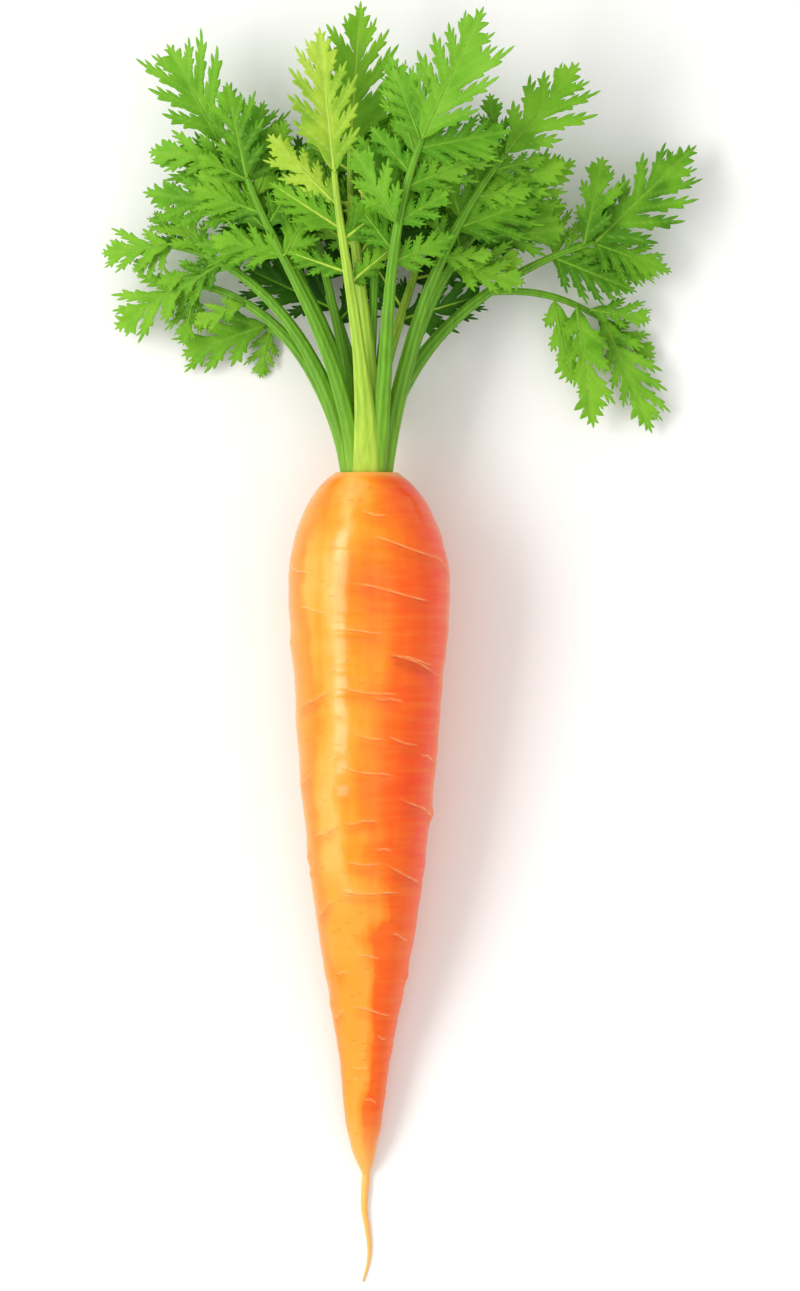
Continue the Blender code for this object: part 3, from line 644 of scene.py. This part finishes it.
class Frond:
    """A leaflet in its own plane, u from its foot to its tip and v to its left, with its relief."""

    def __init__(self, length, half_width, sides, seed):
        rng = random.Random(seed)
        self.length = length
        pairs = max(3, round((LAST_LOBE - FIRST_LOBE) * length / LOBE_PITCH))
        pitch = (LAST_LOBE - FIRST_LOBE) * length / pairs
        self.veins = [(np.zeros(2), np.array([length, 0.0]))]
        self.tilts = [0.0]
        edges = []
        for side, wide in zip((1, -1), sides):
            edge = []
            for k in range(pairs):
                share = (k + 0.5) / pairs
                angle = math.radians(58 - 26 * share + rng.uniform(-4, 4))
                reach = half_width * lobe_reach(share) / math.sin(angle) * rng.uniform(0.88, 1.14)
                reach *= wide
                foot = FIRST_LOBE * length + pitch * (k + 0.5 + 0.22 * side)
                half = pitch * math.sin(angle) / 2 - SLIT / 2
                edge += self.lobe(foot, side, angle, reach, half, rng)
            edges.append(edge)
        rest = length * (1 - LAST_LOBE)
        end = [
            np.array([length - rest + rest * a, 0.5 * pitch * b * rng.uniform(0.9, 1.1)])
            for a, b in END_EDGE
        ]
        right_foot, left_foot = np.array([0.0, -FOOT_WIDTH / 2]), np.array([0.0, FOOT_WIDTH / 2])
        left, right = edges
        rim = np.array([right_foot, *right, *end, *left[::-1], left_foot])
        self.fill(self.rounded(rim))

    def lobe(self, foot, side, angle, reach, half, rng):
        """Edge of one lobe, from the slit below it to the slit above it."""
        ahead = np.array([math.cos(angle), side * math.sin(angle)])
        up = np.array([math.sin(angle), -side * math.cos(angle)])
        root = np.array([foot, 0.0])
        bend = rng.uniform(0.05, 0.14) * reach
        points = [root + ahead * WEB * reach - up * (half + SLIT * 0.3)]
        for a, b in LOBE_EDGE:
            a, b = a + rng.uniform(-0.02, 0.02), b * rng.uniform(0.92, 1.06)
            points.append(root + ahead * a * reach + up * (b * half + bend * a**2))
        points.append(root + ahead * WEB * reach + up * (half + SLIT * 0.3))
        knee = root + ahead * 0.5 * reach + up * bend * 0.25
        tip = root + ahead * reach * 0.97 + up * bend
        self.veins += [(root - np.array([0.1 * reach, 0]), knee), (knee, tip)]
        self.tilts += [rng.uniform(-1, 1)] * 2
        return points

    def rounded(self, rim):
        """The outline with a point every step and its longer runs bulging a little."""
        points = []
        for start, end in zip(rim, np.roll(rim, -1, axis=0)):
            run = end - start
            size = np.linalg.norm(run)
            out = np.array([run[1], -run[0]]) / max(size, 1e-9)
            steps = max(1, round(size / EDGE_STEP))
            for n in range(steps):
                bulge = 0.06 * size * math.sin(math.pi * n / steps)
                points.append(start + run * n / steps + out * bulge)
        return np.array(points)

    def fill(self, edge):
        """Triangles inside the edge, and each point's place against the veins and the edge."""
        low, high = edge.min(0), edge.max(0)
        us, vs = np.meshgrid(
            np.arange(low[0], high[0], FLESH_STEP), np.arange(low[1], high[1], FLESH_STEP * 0.87),
            indexing="ij",
        )
        us = us + FLESH_STEP / 2 * (np.arange(us.shape[1]) % 2)
        grid = np.stack([us.ravel(), vs.ravel()], -1)
        grid = grid[within(grid, edge)]
        after = np.roll(edge, -1, axis=0)
        grid = grid[to_segments(grid, edge, after)[0].min(1) > 0.35 * FLESH_STEP]
        loop = [(n, (n + 1) % len(edge)) for n in range(len(edge))]
        points = [Vector(p) for p in np.concatenate([edge, grid])]
        points, _, faces, *_ = delaunay_2d_cdt(points, loop, [], 1, 1e-7)
        self.flat = np.array([tuple(p) for p in points])
        self.faces = [tuple(f) for f in faces]
        starts, ends = (np.array(side) for side in zip(*self.veins))
        away, share = to_segments(self.flat, starts, ends)
        nearest = away.argmin(1)
        near = away.min(1)
        midrib = np.exp(-((away[:, 0] / MIDRIB_WIDTH) ** 2))
        self.vein = np.maximum(np.exp(-((near / VEIN_WIDTH) ** 2)), midrib)
        to_edge = to_segments(self.flat, edge, after)[0].min(1)
        self.rim = np.exp(-to_edge / (0.45 * MM))
        out = np.clip(abs(self.flat[:, 1]) / (0.3 * self.length), 0, 1.4)
        tilt = np.array(self.tilts)[nearest]
        puff = PUFF * (1 - np.exp(-near / (0.7 * MM)))
        self.relief = puff - 0.12 * MM * self.vein + MM * out**2 * (1.1 * tilt - 0.5)
        pairs = {(a, b) for f in self.faces for a, b in zip(f, f[1:] + f[:1])}
        self.open_edges = [(a, b) for a, b in sorted(pairs) if (b, a) not in pairs]

    def solid(self, foot, along, terms, scale=1.0):
        """Points and faces of the leaflet with its foot at a place, pointing along a flat direction."""
        u, v = self.flat.T
        aside = np.array([-along[1], along[0]])
        plan = foot[:2] + scale * (u[:, None] * along + v[:, None] * aside)
        height = foot[2] + scale * (leaf_height(u / self.length, v / self.length) @ terms + self.relief)
        thick = BLADE_THICKNESS * (1 - 0.55 * self.rim)
        upper = np.column_stack([plan, np.maximum(height, BLADE_THICKNESS + 0.05 * MM)])
        lower = np.column_stack([plan, upper[:, 2] - thick])
        count = len(upper)
        faces = self.faces + [tuple(count + i for i in reversed(f)) for f in self.faces]
        faces += [(b, a, count + a, count + b) for a, b in self.open_edges]
        return np.concatenate([upper, lower]), faces

    def midrib(self, foot, along, terms, scale):
        """Points along the leaflet's midrib, from its foot almost to its tip."""
        u = np.linspace(0, 0.86, 14) * self.length
        height = foot[2] + scale * (leaf_height(u / self.length, 0 * u) @ terms - 0.16 * MM)
        plan = foot[:2] + scale * u[:, None] * along
        return np.column_stack([plan, np.maximum(height, 0.6 * MM)])

    def marks(self, tone):
        out = self.flat[:, 0] / self.length
        whole = np.full(2 * len(out), tone)
        return {"vein": np.tile(self.vein, 2), "out": np.tile(out, 2), "tone": whole}


def within(points, outline):
    x, y = points[:, :1], points[:, 1:2]
    x0, y0 = outline[:, 0], outline[:, 1]
    x1, y1 = np.roll(x0, -1), np.roll(y0, -1)
    rise = np.where(y1 == y0, 1e-12, y1 - y0)
    crosses = ((y0 > y) != (y1 > y)) & (x < (x1 - x0) * (y - y0) / rise + x0)
    return crosses.sum(1) % 2 == 1


def to_segments(points, starts, ends):
    """Distance from each point to each segment, and how far along it the nearest place is."""
    run = ends - starts
    share = ((points[:, None] - starts) * run).sum(-1) / np.maximum((run**2).sum(-1), 1e-12)
    share = np.clip(share, 0, 1)
    return np.linalg.norm(points[:, None] - starts - share[..., None] * run, axis=-1), share


def leaf_height(u, v):
    """Terms of a leaflet's height: its midrib's curve, its keel and its roll."""
    return np.stack([u, u**2, u**3, abs(v), v, u * v, u * abs(v)], axis=-1)


def frame_leaflet(node):
    """Foot, flat direction, length, half width and height terms of a leaflet of the frame."""
    mesh = frame["nodes"][node].data
    corners = np.round(np.array([v.co for v in mesh.vertices]), 6)
    corners, index = np.unique(corners, axis=0, return_inverse=True)
    index = index.reshape(-1)
    follows = set()
    for face in mesh.polygons:
        if face.normal.z > 0.3:
            loop = [int(index[v]) for v in face.vertices]
            follows |= set(zip(loop, loop[1:] + loop[:1]))
    rim = {a: b for a, b in follows if (b, a) not in follows}
    order = [min(rim)]
    while rim[order[-1]] != order[0]:
        order.append(rim[order[-1]])
    rim = corners[order]
    # The foot is the edge that stands square between two equal, parallel sides and faces the tip.
    a, b = np.roll(rim, 1, axis=0)[:, :2], rim[:, :2]
    c, d = np.roll(rim, -1, axis=0)[:, :2], np.roll(rim, -2, axis=0)[:, :2]
    runs = (a - b, c - b, d - c)
    sizes = [np.linalg.norm(run, axis=1) for run in runs]
    left, foot, right = (run / size[:, None] for run, size in zip(runs, sizes))
    fault = abs((left * foot).sum(1)) + abs((right * foot).sum(1)) + 1 - (left * right).sum(1)
    reach = rim[None, :, :2] - (b + c)[:, None] / 2
    size = np.linalg.norm(reach, axis=-1)
    tips = reach[np.arange(len(rim)), size.argmax(1)] / size.max(1)[:, None]
    fault += 5 * (1 - (tips * left).sum(1))
    k = int((fault + abs(sizes[0] - sizes[2]) / sizes[1]).argmin())
    foot, along = (rim[k] + rim[(k + 1) % len(rim)]) / 2, left[k]
    aside = np.array([-along[1], along[0]])
    top = corners[sorted({v for edge in follows for v in edge})] - foot
    flat = np.stack([top[:, :2] @ along, top[:, :2] @ aside], -1)
    length, half_width = flat[:, 0].max(), abs(flat[:, 1]).max()
    terms = np.linalg.lstsq(leaf_height(*(flat / length).T), top[:, 2], rcond=None)[0]
    return foot, along, length, half_width, terms


def blade_material(name, flesh_hex, deep_hex, young_hex, vein_hex):
    """Fresh leaf: thin green flesh, matt with a faint wax sheen, and paler veins that light shows."""
    made, tree, leaf = new_material(name)
    place = add_node(tree, "ShaderNodeTexCoord").outputs["Object"]
    vein = add_node(tree, "ShaderNodeAttribute", {"attribute_name": "vein"})
    out = add_node(tree, "ShaderNodeAttribute", {"attribute_name": "out"})
    tone = add_node(tree, "ShaderNodeAttribute", {"attribute_name": "tone"})
    patches = add_node(
        tree, "ShaderNodeTexNoise", Vector=place, Scale=1 / 0.009, Detail=3.0, Roughness=0.5
    )  # patches of older and younger flesh about 9 mm across
    cells = add_node(
        tree, "ShaderNodeTexNoise", Vector=place, Scale=1 / 0.0009, Detail=2.0
    )  # the fine net of veinlets, 0.9 mm, which is coarser than the real one so that it shows
    # Darker at each leaflet's foot and lighter towards its tip: partly younger flesh at the tip, partly
    # painted shade at the feet, which lie in the middle of the bunch.
    foot_shade_and_age = add_node(
        tree, "ShaderNodeMapRange", Value=out.outputs["Fac"], From_Min=0.0, From_Max=1.0,
        To_Min=-0.12, To_Max=0.15,
    )
    foot_shaded_and_aged = add_node(
        tree, "ShaderNodeMath", {"operation": "ADD"}, i0=patches.outputs["Fac"], i1=foot_shade_and_age.outputs[0]
    )
    toned = add_node(
        tree, "ShaderNodeMath", {"operation": "ADD"}, i0=foot_shaded_and_aged.outputs[0], i1=tone.outputs["Fac"]
    )
    ramp = add_node(tree, "ShaderNodeValToRGB", Fac=toned.outputs[0])
    colour_in(ramp, [(0.26, deep_hex), (0.5, flesh_hex), (0.78, young_hex)])
    vein_share = add_node(
        tree, "ShaderNodeMath", {"operation": "MULTIPLY"}, i0=vein.outputs["Fac"], i1=0.4
    )
    veined = add_node(
        tree, "ShaderNodeMix", {"data_type": "RGBA"}, i0=vein_share.outputs[0], i6=ramp.outputs[0],
        i7=linear(vein_hex),
    )
    tree.links.new(veined.outputs[2], leaf.inputs["Base Color"])
    bump = add_node(
        tree, "ShaderNodeBump", Strength=0.35, Distance=0.00015, Height=cells.outputs["Fac"]
    )
    tree.links.new(bump.outputs[0], leaf.inputs["Normal"])
    leaf.inputs["Roughness"].default_value = 0.58
    leaf.inputs["IOR"].default_value = 1.4
    leaf.inputs["Specular IOR Level"].default_value = 0.2
    leaf.inputs["Subsurface Weight"].default_value = 0.08
    leaf.inputs["Subsurface Radius"].default_value = (0.4, 1.0, 0.15)
    leaf.inputs["Subsurface Scale"].default_value = 0.8 * MM
    return made


BLADE_TONES = {
    "blade_mid_green": blade_material(
        "carrot leaf, mid green", "#6AA61E", "#457D10", "#7EB52B", "#92C244"
    ),
    "blade_light_green": blade_material(
        "carrot leaf, light green", "#6CA823", "#529016", "#7DB633", "#95C649"
    ),
    "blade_yellow_green": blade_material(
        "carrot leaf, young yellow green", "#A8CB3C", "#86B42E", "#B8D650", "#CBE26E"
    ),
    # The deep green is painted shade, given to the leaves that lie low under the others.
    "blade_deep_green": blade_material(
        "carrot leaf, shaded deep green", "#2F6209", "#1D4505", "#3D7410", "#55881F"
    ),
}
# How far the lobes on a leaf's left and right sides reach, where not as far as its frame says.
SIDES = {
    "left_high": (1.10, 1.12), "left_inner": (1.05, 1.10), "centre_left": (0.84, 0.66),
    "centre": (1.00, 0.98), "centre_right": (0.80, 1.00), "right_high": (0.76, 1.10),
    "right_far": (0.74, 1.10), "right_far_branch": (1.18, 0.76), "left_lower": (0.86, 1.14),
    "left_low": (0.86, 1.14),
}
TONE_SPREAD = 0.15  # how far one leaflet's age may be from another's, either way
slot_of = {part["node"]: part["material_slot"] for part in frame["record"]["subparts"]}
leaflets = {leaf: [] for leaf in leaves}
for n, node in enumerate(sorted(name for name in frame["nodes"] if "_leaflet_" in name)):
    foot, along, length, half_width, terms = frame_leaflet(node)
    leaf = node.split("_leaflet_")[0]
    frond = Frond(length, half_width, SIDES.get(leaf, (1, 1)), n)
    points, faces = frond.solid(foot, along, terms)
    tone = random.Random(n).uniform(-TONE_SPREAD, TONE_SPREAD)
    slot = slot_of[node]
    piece = add_piece(f"{node}_blade", points, faces, BLADE_TONES[slot], slot, **frond.marks(tone))
    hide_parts(node)
    leaflets[leaf].append((frond, foot, along, terms))

# Lower leaflets. A leaf has more leaflets further down its stalk, in pairs, smaller and in the
# shade of the others. They fill the middle of the bunch. For each leaf: how far up its stalk the
# first and the last pair stand (mm), how many pairs, and their size against its top leaflets.
LOWER_LEAFLETS = {
    "left_high": (56, 84, 3, 0.78), "left_inner": (54, 82, 3, 0.78), "left_middle": (60, 80, 2, 0.72),
    "left_lower": (62, 70, 1, 0.6), "centre_left": (48, 62, 2, 0.66),
    "centre": (54, 86, 4, 0.75), "centre_right": (54, 86, 4, 0.75), "right_high": (56, 84, 4, 0.78),
    "right_middle": (56, 82, 3, 0.78), "right_far": (74, 88, 2, 0.62), "under_left": (40, 78, 4, 0.85),
    "under_right": (40, 78, 4, 0.85),
}
# Painted shade: the lowest pair of lower leaflets is painted darker, as it lies under the others.
SHADE = 0.10  # how much darker the lowest pair is
GREEN_BELOW = {"blade_yellow_green": "blade_mid_green"}  # only a leaf's top flesh is young
STAGGER = 0.3  # how far the left one of a pair stands past the right one, in pairs
LEAST_TURN, MOST_TURN = 38, 62  # degrees from the stalk
BELOW = 0.4 * MM  # a leaflet's foot is this far under the stalk's middle


def turned_by(ahead, turn):
    """A flat unit vector turned to the left."""
    return np.array([
        ahead[0] * math.cos(turn) - ahead[1] * math.sin(turn),
        ahead[0] * math.sin(turn) + ahead[1] * math.cos(turn),
    ])


ribs_of = {leaf: [] for leaf in leaves}
for leaf, (first, last, pairs, size) in LOWER_LEAFLETS.items():
    rng = random.Random(leaf)
    marks, line, _ = stalk_paths[leaf]
    along_line, _, _ = frames_along(line)
    shapes = []
    for k in range(pairs):
        for side in (-1, 1):
            at = first + (last - first) * (k + STAGGER * (side > 0)) / max(1, pairs - 0.7)
            m = min(int(np.searchsorted(marks, at * MM)), len(line) - 2)
            frond, _, _, terms = rng.choice(leaflets[leaf])
            turn = side * math.radians(rng.uniform(LEAST_TURN, MOST_TURN))
            ahead = along_line[m][:2] / np.linalg.norm(along_line[m][:2])
            along = turned_by(ahead, turn)
            foot = line[m] - np.array([0, 0, BELOW])
            grown = size * rng.uniform(0.85, 1.15)
            points, faces = frond.solid(foot, along, terms, grown)
            ribs_of[leaf].append(frond.midrib(foot, along, terms, grown))
            # The lower leaflets' tones run a little darker than the top leaflets', less SHADE for the
            # lower pairs: painted shade.
            tone = rng.uniform(-0.20, 0.12) - SHADE * (1 - k / pairs)
            shapes.append((points, faces, frond.marks(tone)))
    slot = slot_of[f"{leaf}_leaflet_1"]
    slot = GREEN_BELOW.get(slot, slot)
    points, faces, marks = joined(shapes)
    add_piece(f"{leaf}_lower_leaflets", points, faces, BLADE_TONES[slot], slot, **marks)

# Young leaves. Each young stalk ends in a small leaf that is still folded among the others.
YOUNG_SIZE, YOUNG_SPREAD = 0.72, 0.7  # against a leaflet of under_left, and radians between them
rng = random.Random("young leaves")
shapes = []
for before, tip in young_tips:
    ahead = (tip - before)[:2] / np.linalg.norm((tip - before)[:2])
    for turn in (-YOUNG_SPREAD, 0, YOUNG_SPREAD):
        along = turned_by(ahead, turn)
        frond, _, _, terms = rng.choice(leaflets["under_left"])
        points, faces = frond.solid(tip, along, terms, YOUNG_SIZE * rng.uniform(0.85, 1.1))
        shapes.append((points, faces, frond.marks(rng.uniform(-0.1, 0.15))))
points, faces, marks = joined(shapes)
# The young leaves take the deep green as painted shade, since they lie under the others.
deep_green = "blade_deep_green"
add_piece("young_leaves", points, faces, BLADE_TONES[deep_green], deep_green, **marks)

# Midribs. Each leaflet hangs on a thin stalk of its own that runs on under it as its midrib, and
# shows on both sides as a paler line.
MIDRIB_SIDES, MIDRIB_STEP = 8, 1.2 * MM
MIDRIB_RADIUS, MIDRIB_TIP = 0.46 * MM, 0.13 * MM
JOINED_WITHIN = 0.6 * MM  # a leaflet whose foot is nearer to its stalk needs no stalk of its own
for leaf in leaves:
    trunk = stalk_paths[leaf][1]
    ribs = list(ribs_of[leaf])
    for frond, foot, along, terms in leaflets[leaf]:
        nearest = trunk[np.linalg.norm(trunk - foot, axis=1).argmin()]
        rib = frond.midrib(foot, along, terms, 1.0)
        if np.linalg.norm(nearest - foot) > JOINED_WITHIN:
            rib = np.concatenate([[nearest], rib])
        ribs.append(rib)
    shapes = []
    for rib in ribs:
        marks, line, _ = smooth_line(rib, np.ones(len(rib)), MIDRIB_STEP)
        half = MIDRIB_RADIUS + (MIDRIB_TIP - MIDRIB_RADIUS) * marks / marks[-1]
        points, faces = closed_tube(swept(line, half, half, MIDRIB_SIDES, np.ones_like))
        count = len(points)
        shapes.append((points, faces, {"rib": np.full(count, 0.8), "foot": np.full(count, 0.3)}))
    points, faces, marks = joined(shapes)
    flesh = pale_stalk if leaf in PALE_STALKS else green_stalk
    add_piece(f"{leaf}_midribs", points, faces, flesh, "stalk_skin", **marks)

# ------------------------------------------------------------------ table, light and camera
# A plain pale table, a long soft window light from the upper left, and a camera high above that
# looks straight down through a long lens.
table_top, tree, surface = new_material("table, pale matt laminate")
surface.inputs["Base Color"].default_value = linear("#F7F6F4")
surface.inputs["Roughness"].default_value = 0.7
place = add_node(tree, "ShaderNodeTexCoord").outputs["Object"]
grain = add_node(tree, "ShaderNodeTexNoise", Vector=place, Scale=900.0)  # matt grain, 1.1 mm
table_bump = add_node(
    tree, "ShaderNodeBump", Strength=0.05, Distance=0.0002, Height=grain.outputs["Fac"]
)
tree.links.new(table_bump.outputs[0], surface.inputs["Normal"])
mesh = bpy.data.meshes.new("table")
TABLE = 3  # metres from the middle to each edge
corners = [(-TABLE, -TABLE, 0), (TABLE, -TABLE, 0), (TABLE, TABLE, 0), (-TABLE, TABLE, 0)]
mesh.from_pydata(corners, [], [(0, 1, 2, 3)])
mesh.materials.append(table_top)
table = bpy.data.objects.new("table", mesh)
bpy.context.scene.collection.objects.link(table)

world = bpy.data.worlds.new("pale room")
world.use_nodes = True
world.node_tree.nodes["Background"].inputs["Color"].default_value = (1.0, 1.0, 1.0, 1)
world.node_tree.nodes["Background"].inputs["Strength"].default_value = 0.74
bpy.context.scene.world = world
bpy.context.scene.view_settings.view_transform = "Standard"


def add_light(name, place, aim, size, power, colour):
    light = bpy.data.lights.new(name, "AREA")
    light.shape = "RECTANGLE"
    light.size, light.size_y = size
    light.energy, light.color = power, colour
    lamp = bpy.data.objects.new(name, light)
    lamp.location = place
    lamp.rotation_euler = (Vector(aim) - Vector(place)).to_track_quat("-Z", "Y").to_euler()
    bpy.context.scene.collection.objects.link(lamp)


add_light("window, left", (-0.92, 0.1, 1.0), (0, 0, 0.02), (1.1, 0.46), 10.0, (1.0, 0.99, 0.96))
add_light("soft wall, upper left", (-0.9, 0.7, 1.2), (0, 0, 0.02), (0.9, 0.9), 1.6, (1.0, 1.0, 1.0))
add_light("ceiling", (0.3, -0.2, 1.9), (0, 0, 0), (1.6, 1.6), 4.0, (1.0, 1.0, 1.0))

low, high = (Vector(corner) for corner in cad_box)
middle = (low + high) / 2
SENSOR, LENS = 36, 250  # mm
MARGIN = 1.004  # the carrot all but fills the frame from top to bottom
view_height = (high.y - low.y) * MARGIN
lens = bpy.data.cameras.new("camera")
lens.sensor_width, lens.lens, lens.sensor_fit = SENSOR, LENS, "AUTO"
lens.clip_end = 20
camera = bpy.data.objects.new("camera", lens)
camera.location = (middle.x, middle.y, middle.z + view_height * LENS / SENSOR)
bpy.context.scene.collection.objects.link(camera)
bpy.context.scene.camera = camera
